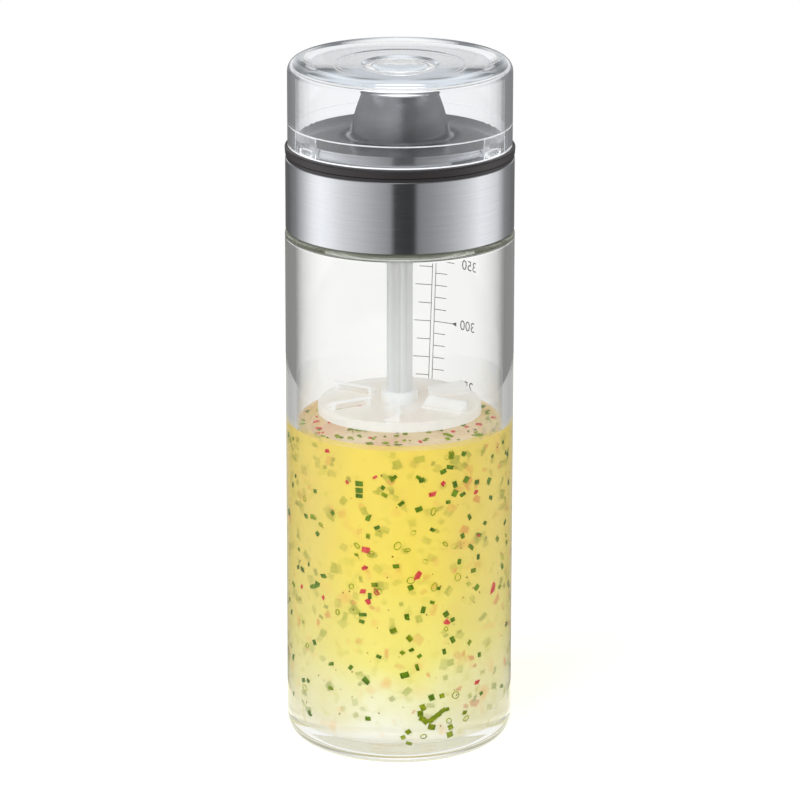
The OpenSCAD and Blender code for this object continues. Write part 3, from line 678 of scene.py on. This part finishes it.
class Bits:
    """Collects small closed solids that float in the dressing, by radius, azimuth and height."""

    def __init__(self, name, mat):
        self.name, self.mat = name, mat
        self.verts, self.faces = [], []

    def place(self, points, radius, azimuth, height, turn, tilt, lean):
        a = math.radians(azimuth)
        out = Vector((math.sin(a), -math.cos(a), 0))
        side = Vector((math.cos(a), math.sin(a), 0))
        base = Matrix((side, Vector((0, 0, 1)), out)).transposed()
        spin = Matrix.Rotation(lean, 3, "Y") @ Matrix.Rotation(tilt, 3, "X") @ Matrix.Rotation(turn, 3, "Z")
        spot = out * radius + Vector((0, 0, height))
        self.verts += [tuple((base @ (spin @ Vector(p)) + spot) * MM) for p in points]

    def plate(self, outline, thick, curl, *where):
        """A flat bit with the given outline, bent across its width."""
        first, count = len(self.verts), len(outline)
        self.place([(x, y, t - curl * x * x) for t in (-thick / 2, thick / 2) for x, y in outline], *where)
        low = list(range(first, first + count))
        high = [i + count for i in low]
        self.faces += [tuple(reversed(low)), tuple(high)]
        self.faces += [(low[i], low[(i + 1) % count], high[(i + 1) % count], high[i]) for i in range(count)]

    def ring(self, a, b, wall, deep, *where):
        """A slice of a hollow stalk."""
        first, count = len(self.verts), 16
        points = []
        for scale_a, scale_b, z in ((a, b, 0), (a - wall, b - wall, 0), (a - wall, b - wall, deep), (a, b, deep)):
            points += [(scale_a * math.cos(2 * math.pi * i / count), scale_b * math.sin(2 * math.pi * i / count), z)
                       for i in range(count)]
        self.place(points, *where)
        for k in range(4):
            low, high = first + k * count, first + (k + 1) % 4 * count
            self.faces += [(low + (i + 1) % count, low + i, high + i, high + (i + 1) % count) for i in range(count)]

    def build(self):
        mesh = mesh_of(self.name, self.verts, self.faces)
        mesh.materials.append(self.mat)
        piece = bpy.data.objects.new(self.name, mesh)
        bpy.context.scene.collection.objects.link(piece)
        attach(piece, "bottle")
        return piece


def bit_material(name, dark, light, rough=0.4):
    """Cut herb or pepper: two tones in small patches, and faint fibres."""
    mat, n = material(name)
    place = n.add("ShaderNodeTexCoord").outputs["Object"]
    patch = n.add("ShaderNodeTexNoise", {"Vector": place, "Scale": 420.0, "Detail": 2.0}).outputs[0]
    fibre = n.add("ShaderNodeTexNoise", {"Vector": place, "Scale": 2600.0, "Detail": 1.0}).outputs[0]
    tone = n.ramp(n.math("MULTIPLY_ADD", fibre, 0.3, n.math("MULTIPLY", patch, 0.7)), [(0.34, dark), (0.66, light)])
    bump = n.add("ShaderNodeBump", {"Strength": 0.2, "Distance": 0.00008, "Height": fibre})
    surface = n.add("ShaderNodeBsdfPrincipled", {
        "Base Color": tone, "Roughness": rough, "Specular IOR Level": 0.2, "Normal": bump.outputs[0]})
    # The bits glow a little in their own tone: painted light.
    glow = n.add("ShaderNodeEmission", {"Color": tone, "Strength": 0.6})
    output(n, n.mix(0.35, surface.outputs[0], glow.outputs[0]))
    return mat


def square(width, height):
    w, h = width / 2, height / 2
    return [(-w, -h), (-w / 3, -h * 1.05), (w / 3, -h), (w, -h * 0.95), (w * 0.97, h), (w / 3, h * 0.96),
            (-w / 3, h), (-w * 1.03, h * 0.98)]


def chip(size, rng):
    """An uneven chip of pepper with four or five corners."""
    count = rng.choice((4, 4, 5))
    start = rng.uniform(0, 1)
    corners = [start + (i + rng.uniform(-0.22, 0.22)) * 2 * math.pi / count for i in range(count)]
    return [(size / 2 * rng.uniform(0.8, 1.15) * math.cos(a), size / 2 * rng.uniform(0.45, 0.85) * math.sin(a))
            for a in corners]


# Bits that stand out against the glass at the front, as (azimuth in degrees, height in mm, width, height, turn)
FRONT_GREENS = [
    (-22, 84, 2.2, 1.5, 0), (-22, 82, 2.1, 1.5, 4), (-22, 80.4, 2, 1.2, 0), (24, 87.5, 1.8, 1.3, 20), (28, 88.5, 2, 1.2, -15),
    (12, 85.5, 1.6, 1.3, 10), (31, 83.2, 1.3, 2, 15), (31, 80.6, 1.6, 2, -30), (10.5, 77, 2, 1.4, 20), (1, 78.8, 1.8, 1, 40),
    (27, 78.3, 1.3, 1, 0), (-51, 79, 1.2, 1.1, 10), (-12, 71.5, 1.6, 1, 25), (18, 70.6, 1.4, 1, -35),
    (36, 67.5, 1.2, 1.5, 20), (34, 60, 1.1, 1.6, -10), (47, 60, 1, 1.6, 0), (46, 51, 1.8, 1.4, 40),
    (13, 47, 1.2, 2, -15), (26, 45, 1.6, 1.6, 30), (30, 43, 1.3, 1.2, 15), (18, 49, 1.3, 0.9, -20),
    (-20, 45.2, 2.2, 1, 5), (-16, 51, 1, 1.8, 0), (30, 37, 1.3, 2, 25), (25, 33.8, 1, 1.7, 10), (11, 33.2, 1.3, 1, 35),
    (-52, 33.5, 1.3, 1.6, 25), (-11, 33, 1.5, 1, -20), (3, 27.6, 2.4, 1.7, 15), (50, 18.4, 1.2, 1, 20), (-17, 14, 1.5, 1.2, 0)]
FRONT_CLUSTER = [
    (13, 17.6, 1.5, 1.9, 20), (11.6, 15.8, 1.6, 1.7, 5), (12.6, 14.2, 1.7, 1.5, -20), (14.6, 13.2, 1.5, 1.6, -50),
    (17.2, 13.4, 1.4, 1.5, 28), (19.4, 14.2, 1.5, 1.4, 24), (21.8, 15, 1.5, 1.5, 30), (24.4, 16, 1.7, 1.3, 28),
    (27, 16.2, 1.1, 1.1, 10), (18, 11.4, 2.1, 1.6, -15), (29, 10.6, 1.5, 1.5, 20), (28.6, 8.4, 1.8, 1.7, 10),
    (5, 10.4, 1.5, 1.3, 35), (2.2, 8.8, 1.3, 1.2, 25), (5.4, 6.9, 1.7, 0.9, -20)]
FRONT_REDS = [
    (-18, 64.4, 3.6, -20), (10, 57.3, 3.2, 50), (18, 81, 2.7, 10), (24, 84, 2.2, 60), (45, 79.5, 2, 30),
    (60, 48.8, 3.8, 70), (47.5, 66.5, 1.8, 0), (47, 22.4, 2.4, 20), (-45, 48, 1.6, 80), (-42, 92, 2, 10)]
FRONT_RINGS = [(-1, 66.3, 1.3), (4.2, 65, 1), (6.2, 56, 1.2), (33, 55.5, 1.3), (19, 53.5, 1.3), (26, 40.6, 0.8), (32, 20, 1.4),
               (28, 12.6, 1), (39, 12.2, 1.1), (13.4, 8.8, 1)]


def bits():
    """Cut chives, rings of chive, chips of pepper and specks in the dressing, thick at the top and thin below."""
    rng = random.Random(11)
    greens = Bits("herbs_near", bit_material("herb_dark", (0.045, 0.13, 0.0), (0.19, 0.34, 0.0)))
    olives = Bits("herbs_settled", bit_material("herb_olive", (0.12, 0.2, 0.0), (0.36, 0.43, 0.0)))
    rings = Bits("herb_rings", bit_material("herb_pale", (0.25, 0.36, 0.0), (0.55, 0.58, 0.02)))
    reds = Bits("pepper_near", bit_material("pepper_red", (0.62, 0.012, 0.03), (0.86, 0.14, 0.1), 0.3))
    specks = Bits("specks", bit_material("speck_brown", (0.12, 0.03, 0.01), (0.35, 0.16, 0.02)))
    deep_greens = Bits("herbs_deep", bit_material("herb_deep", (0.14, 0.28, 0.0), (0.4, 0.5, 0.0)))
    deep_reds = Bits("pepper_deep", bit_material("pepper_pale", (0.9, 0.13, 0.06), (0.95, 0.33, 0.12)))

    def anywhere():
        return (rng.uniform(0, 2 * math.pi), rng.uniform(-0.5, 0.5), rng.uniform(-0.5, 0.5))

    def height():
        """More bits near the top, few near the bottom."""
        return LIQUID_Z - 3 - (LIQUID_Z - 14) * rng.random() ** 1.25

    for azimuth, z, width, tall, turn in FRONT_GREENS:
        greens.plate(square(width, tall), 0.22, 0.12, 29.15, azimuth, z, math.radians(turn), 0, 0)
    for azimuth, z, width, tall, turn in FRONT_CLUSTER:
        olives.plate(square(width, tall), 0.22, 0.1, 29.15, azimuth, z, math.radians(turn), 0, 0)
    for azimuth, z, size, turn in FRONT_REDS:
        reds.plate(chip(size, rng), 0.4, 0.03, 29.1, azimuth, z, math.radians(turn), 0, 0)
    for azimuth, z, size in FRONT_RINGS:
        rings.ring(size, size * rng.uniform(0.55, 0.9), 0.2, 0.3, 28.95, azimuth, z, *anywhere()[:1], 0.2, 0.2)
    for i in range(240):
        radius = rng.choice((29.15, 29.1, 28.3))
        kind = rng.choice((greens, greens, olives))
        kind.plate(square(rng.uniform(0.9, 2.2), rng.uniform(0.9, 1.8)), 0.2, 0.1, radius,
                   rng.uniform(-180, 180), height(), *anywhere())
    for i in range(50):
        rings.ring(rng.uniform(0.6, 1.3), rng.uniform(0.45, 0.9), 0.22, 0.4, rng.choice((29.0, 28.3)),
                   rng.uniform(-180, 180), height(), *anywhere())
    for i in range(30):
        reds.plate(chip(rng.uniform(1.0, 3.0), rng), 0.3, 0.05, rng.choice((29.1, 28.5)),
                   rng.uniform(-180, 180), height(), *anywhere())
    for i in range(260):
        specks.plate(chip(rng.uniform(0.35, 0.7), rng), 0.15, 0.0, rng.choice((29.2, 28.6)),
                     rng.uniform(-180, 180), height(), *anywhere())
    for i in range(280):
        deep_greens.plate(square(rng.uniform(1.2, 3.2), rng.uniform(1.2, 2.6)), 0.25, 0.1,
                          rng.uniform(23.2, 28.3), rng.uniform(-180, 180), height(), *anywhere())
    for i in range(120):
        deep_reds.plate(chip(rng.uniform(1.6, 4.5), rng), 0.4, 0.05, rng.uniform(23.2, 28.3),
                        rng.uniform(-180, 180), height(), *anywhere())
    for i in range(170):
        kind = rng.choice((greens, olives, deep_greens, deep_greens, reds))
        size = rng.uniform(0.6, 1.9)
        kind.plate(square(size, size * rng.uniform(0.5, 1)), 0.2, 0.1,
                   math.sqrt(rng.uniform(0.02, 1)) * 28.4, rng.uniform(-180, 180), LIQUID_Z + rng.uniform(-0.05, 0.25),
                   rng.uniform(0, 6.28), -math.pi / 2 + rng.uniform(-0.3, 0.3), 0)
    for group in (greens, olives, rings, reds, specks, deep_greens, deep_reds):
        group.build()


# Scale printed on the back of the glass: marks every 10 ml, numbers every 50 ml
SCALE_AZIMUTH = 160.6
SCALE_TOP = 133.8
SCALE_LEAN = 0.034
MM_PER_ML = 0.364
SCALE_TOP_ML = 350
LINE_GAP = 1.12
LINE_W = 0.22
INK = 0.015
SPOON_ML = 15


def wrap(points, azimuth):
    """Moves flat points (across, up, thickness) in mm to the outside of the glass at an azimuth."""
    outer = GLASS_R / MM
    wrapped = []
    for x, z, t in points:
        a = math.radians(azimuth) + (x - (z - SCALE_TOP) * SCALE_LEAN) / outer
        r = outer + 0.004 + t
        wrapped.append((r * math.sin(a) * MM, -r * math.cos(a) * MM, z * MM))
    return wrapped


def printed_bar(verts, faces, x0, x1, z0, z1, azimuth):
    """A thin printed bar, cut into short lengths so that it follows the glass."""
    steps = max(1, int(max(x1 - x0, z1 - z0) / 0.8))
    first = len(verts)
    ring = []
    for i in range(steps + 1):
        x = x0 + (x1 - x0) * i / steps
        z = z1 + (z0 - z1) * i / steps
        if x1 - x0 > z1 - z0:
            ring += [(x, z0, 0), (x, z1, 0), (x, z1, INK), (x, z0, INK)]
        else:
            ring += [(x0, z, 0), (x1, z, 0), (x1, z, INK), (x0, z, INK)]
    verts += wrap(ring, azimuth)
    for i in range(steps):
        for k in range(4):
            a, b = first + 4 * i + k, first + 4 * i + (k + 1) % 4
            faces.append((a, b, b + 4, a + 4))
    faces.append(tuple(first + k for k in (3, 2, 1, 0)))
    faces.append(tuple(first + 4 * steps + k for k in (0, 1, 2, 3)))


def printed_pointer(verts, faces, x, z, azimuth):
    """A small solid triangle whose tip is at x and points along the mark."""
    first = len(verts)
    corners = [(x + 0.3, z), (x - 1.5, z - 0.65), (x - 1.5, z + 0.65)]
    verts += wrap([(cx, cz, t) for t in (0, INK) for cx, cz in corners], azimuth)
    faces += [tuple(first + i for i in face) for face in
              ((0, 1, 2), (5, 4, 3), (0, 3, 4, 1), (1, 4, 5, 2), (2, 5, 3, 0))]


def printed_number(verts, faces, text, size, x, z, azimuth):
    """A plain number as a thin mesh, wrapped on the glass. Its left edge is at x and its middle at z."""
    curve = bpy.data.curves.new("number", "FONT")
    curve.body = text
    curve.size = size
    curve.extrude = 0.5 * INK
    curve.resolution_u = 3
    curve.align_y = "CENTER"
    holder = bpy.data.objects.new("number", curve)
    bpy.context.scene.collection.objects.link(holder)
    mesh = bpy.data.meshes.new_from_object(holder.evaluated_get(bpy.context.evaluated_depsgraph_get()))
    first = len(verts)
    verts += wrap([(v.co.x + x, v.co.y + z, v.co.z + 0.5 * INK) for v in mesh.vertices], azimuth)
    faces += [tuple(first + i for i in p.vertices) for p in mesh.polygons]
    bpy.data.objects.remove(holder)
    bpy.data.curves.remove(curve)
    bpy.data.meshes.remove(mesh)


def print_piece(name, verts, faces, mat):
    mesh = mesh_of(name, verts, faces)
    mesh.materials.append(mat)
    piece = bpy.data.objects.new(name, mesh)
    bpy.context.scene.collection.objects.link(piece)
    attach(piece, "bottle")


def printed_scale():
    """The scale on the back, read from behind: a double line with marks and numbers on one side and spoon marks on the
    other.
    """
    ink = plain_material("ink", (0.09, 0.09, 0.085), 0.6, spot=4000.0)
    verts, faces = [], []
    low = SCALE_TOP - (SCALE_TOP_ML - 50) * MM_PER_ML
    for side in (-LINE_GAP / 2, LINE_GAP / 2):
        printed_bar(verts, faces, side - LINE_W / 2, side + LINE_W / 2, low - 6, SCALE_TOP + 1, SCALE_AZIMUTH)
    for ml in range(30, SCALE_TOP_ML + 1, 10):
        z = SCALE_TOP - (SCALE_TOP_ML - ml) * MM_PER_ML
        whole = ml % 50 == 0
        reach = 6.4 if whole else 3.9
        start = LINE_GAP / 2 + (3.0 if ml == SCALE_TOP_ML else 0)
        printed_bar(verts, faces, -LINE_GAP / 2 - reach, -start, z - LINE_W / 2, z + LINE_W / 2, SCALE_AZIMUTH)
        if whole:
            printed_number(verts, faces, str(ml), 4.3, -LINE_GAP / 2 - 15.7, z, SCALE_AZIMUTH)
        if ml % 100 == 0:
            printed_pointer(verts, faces, -LINE_GAP / 2 - reach, z, SCALE_AZIMUTH)
    for spoon in range(2, 24):
        z = SCALE_TOP - (SCALE_TOP_ML - spoon * SPOON_ML) * MM_PER_ML
        reach = 4.2 if spoon % 2 else 5.3
        printed_bar(verts, faces, LINE_GAP / 2, LINE_GAP / 2 + reach, z - LINE_W / 2, z + LINE_W / 2, SCALE_AZIMUTH)
    print_piece("scale_back", verts, faces, ink)


CONE_H = 12.6


def look():
    steel = steel_material("brushed_steel")
    frosted = frosted_material("frosted_plastic", 0.0)
    # The mixing disc glows a little (0.26): painted light.
    lit = frosted_material("frosted_disc", 0.26)
    dark = plain_material("dark_silicone", (0.026, 0.022, 0.024), 0.4, grain=0.15)
    # White silicone for the seal and neck gasket glows a little (0.5): painted light that keeps it white inside the
    # cap.
    white = plain_material("white_silicone", (0.9, 0.91, 0.92), 0.45, grain=0.1, **{"Emission Strength": 0.5})
    grey = plain_material("grey_plastic", (0.3, 0.305, 0.32), 0.35, grain=0.08)
    # Spout plate and cap seat: a darker copy of the steel (tone 0.8) is painted shade for their place inside the cap,
    # with painted shade at the cone's foot too
    shaded = steel_material("brushed_steel_spout_painted_shade", 0.8, spout_high.z - CONE_H * MM)
    dress("steel_collar", steel)
    dress("spout_plate", shaded)
    dress("cap_seat", shaded)
    dress("pouring_insert", grey)
    dress("cap_gasket", dark)
    dress("neck_gasket", white)
    dress("cap_seal", white)
    dress("mixing_disc", lit)
    for node in ("lock_ring", "rod_holder", "mixing_rod"):
        dress(node, frosted)


bpy.context.scene.view_settings.view_transform = "Standard"
camera()
world()
stage()
lamp("key", (-0.8, -0.9, 1.3), (0, 0, 0.1), 0.9, 9)
look()
glass()
cap()
dressing()
bits()
printed_scale()
